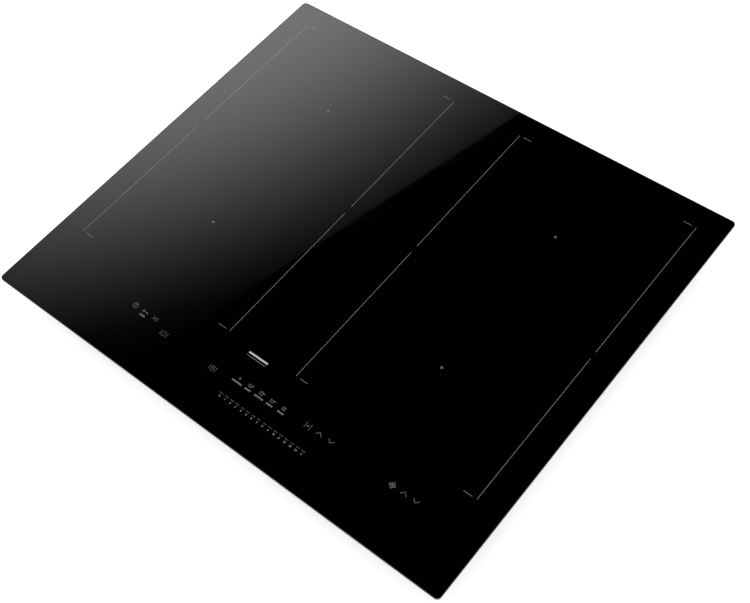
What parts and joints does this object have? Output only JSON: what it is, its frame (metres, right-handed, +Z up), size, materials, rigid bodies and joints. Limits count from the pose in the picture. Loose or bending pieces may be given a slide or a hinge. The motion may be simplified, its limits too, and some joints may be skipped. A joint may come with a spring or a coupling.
{
  "type": "induction cooktop",
  "caption": "Built-in induction cooktop: a flat black glass plate with printed zones and touch controls over a shallow steel casing with coils, fans and swivelling clamps.",
  "frame": {"origin": "centre of the footprint, on the underside of the casing", "axes": "+X to the cook's right, +Y to the back of the worktop, +Z up out of the glass"},
  "size_m": [0.59, 0.52, 0.054],
  "materials": {
    "black_glass": "polished black glass ceramic with pale grey printed signs",
    "silicone": "matt silicone",
    "foam_seal": "closed cell foam tape",
    "zinc_steel": "zinc coated sheet with a fine spangle",
    "spring_steel": "zinc plated spring steel",
    "aluminium_sheet": "mill finish",
    "litz_wire": "enamelled stranded wire, amber",
    "ferrite": "dull dark grey ferrite",
    "mica": "pressed mica sheet",
    "white_plastic": "natural heat resistant moulding",
    "black_plastic": "fine moulded texture",
    "screen_print": "pale grey ceramic print fired onto the glass",
    "circuit_board": "green solder mask"
  },
  "bodies": {
    "casing": {"glass_plate": "black_glass", "bonding_bead": "silicone", "worktop_gasket": "foam_seal", "support_frame": "zinc_steel", "bottom_casing": "zinc_steel", "clamp_bracket_front_left": "zinc_steel", "clamp_bracket_back_left": "zinc_steel", "deck_spring_front_inner_left": "spring_steel", "deck_spring_back_inner_left": "spring_steel", "deck_spring_front_outer_left": "spring_steel", "deck_spring_back_outer_left": "spring_steel", "power_board_left": "circuit_board", "heat_sink_left": "aluminium_sheet", "fan_housing_left": "black_plastic", "clamp_bracket_front_right": "zinc_steel", "clamp_bracket_back_right": "zinc_steel", "deck_spring_front_inner_right": "spring_steel", "deck_spring_back_inner_right": "spring_steel", "deck_spring_front_outer_right": "spring_steel", "deck_spring_back_outer_right": "spring_steel", "power_board_right": "circuit_board", "heat_sink_right": "aluminium_sheet", "fan_housing_right": "black_plastic", "connection_box": "zinc_steel", "electronics_tray": "white_plastic", "filter_board": "circuit_board", "terminal_block": "white_plastic", "cord_inlet": "black_plastic", "control_carrier": "white_plastic", "control_board": "circuit_board", "ribbon_cable": "black_plastic"},
    "screw_front_left": {"clamp_screw_front_left": "spring_steel"},
    "clamp_front_left": {"mounting_clamp_front_left": "spring_steel"},
    "screw_back_left": {"clamp_screw_back_left": "spring_steel"},
    "clamp_back_left": {"mounting_clamp_back_left": "spring_steel"},
    "coil_deck_left": {"coil_deck_left": "aluminium_sheet", "ferrite_star_front_left": "ferrite", "coil_former_front_left": "white_plastic", "coil_winding_front_left": "litz_wire", "temperature_sensor_front_left": "black_plastic", "ferrite_star_back_left": "ferrite", "coil_former_back_left": "white_plastic", "coil_winding_back_left": "litz_wire", "temperature_sensor_back_left": "black_plastic"},
    "fan_left": {"fan_impeller_left": "black_plastic"},
    "screw_front_right": {"clamp_screw_front_right": "spring_steel"},
    "clamp_front_right": {"mounting_clamp_front_right": "spring_steel"},
    "screw_back_right": {"clamp_screw_back_right": "spring_steel"},
    "clamp_back_right": {"mounting_clamp_back_right": "spring_steel"},
    "coil_deck_right": {"coil_deck_right": "aluminium_sheet", "ferrite_star_front_right": "ferrite", "coil_former_front_right": "white_plastic", "coil_winding_front_right": "litz_wire", "temperature_sensor_front_right": "black_plastic", "ferrite_star_back_right": "ferrite", "coil_former_back_right": "white_plastic", "coil_winding_back_right": "litz_wire", "temperature_sensor_back_right": "black_plastic"},
    "fan_right": {"fan_impeller_right": "black_plastic"},
    "terminal_cover": {"terminal_cover": "black_plastic"}
  },
  "joints": [
    {"name": "screw_draw_front_left", "type": "slide", "parent": "casing", "child": "screw_front_left", "axis": [0, 0, 1], "range_m": [0, 0.0035]},
    {"name": "clamp_swing_front_left", "type": "hinge", "parent": "screw_front_left", "child": "clamp_front_left", "pos_m": [-0.256, -0.165, 0.0054], "axis": [0, 0, -1], "range_deg": [0, 90]},
    {"name": "screw_draw_back_left", "type": "slide", "parent": "casing", "child": "screw_back_left", "axis": [0, 0, 1], "range_m": [0, 0.0035]},
    {"name": "clamp_swing_back_left", "type": "hinge", "parent": "screw_back_left", "child": "clamp_back_left", "pos_m": [-0.256, 0.15, 0.0054], "axis": [0, 0, -1], "range_deg": [0, 90]},
    {"name": "deck_float_left", "type": "slide", "parent": "casing", "child": "coil_deck_left", "axis": [0, 0, 1], "range_m": [-0.003, 0], "stiffness_N_per_m": 6000, "springref_m": 0.006, "deforming": ["deck_spring_front_inner_left", "deck_spring_back_inner_left", "deck_spring_front_outer_left", "deck_spring_back_outer_left"]},
    {"name": "fan_spin_left", "type": "hinge", "parent": "casing", "child": "fan_left", "pos_m": [-0.155, 0.15, 0.016], "axis": [0, 0, 1], "continuous": true},
    {"name": "screw_draw_front_right", "type": "slide", "parent": "casing", "child": "screw_front_right", "axis": [0, 0, 1], "range_m": [0, 0.0035]},
    {"name": "clamp_swing_front_right", "type": "hinge", "parent": "screw_front_right", "child": "clamp_front_right", "pos_m": [0.256, -0.165, 0.0054], "axis": [0, 0, 1], "range_deg": [0, 90]},
    {"name": "screw_draw_back_right", "type": "slide", "parent": "casing", "child": "screw_back_right", "axis": [0, 0, 1], "range_m": [0, 0.0035]},
    {"name": "clamp_swing_back_right", "type": "hinge", "parent": "screw_back_right", "child": "clamp_back_right", "pos_m": [0.256, 0.15, 0.0054], "axis": [0, 0, 1], "range_deg": [0, 90]},
    {"name": "deck_float_right", "type": "slide", "parent": "casing", "child": "coil_deck_right", "axis": [0, 0, 1], "range_m": [-0.003, 0], "stiffness_N_per_m": 6000, "springref_m": 0.006, "deforming": ["deck_spring_front_inner_right", "deck_spring_back_inner_right", "deck_spring_front_outer_right", "deck_spring_back_outer_right"]},
    {"name": "fan_spin_right", "type": "hinge", "parent": "casing", "child": "fan_right", "pos_m": [0.155, 0.15, 0.016], "axis": [0, 0, 1], "continuous": true},
    {"name": "cover_hinge", "type": "hinge", "parent": "casing", "child": "terminal_cover", "pos_m": [0, 0.176, 0.003], "axis": [-1, 0, 0], "range_deg": [0, 100]}
  ]
}
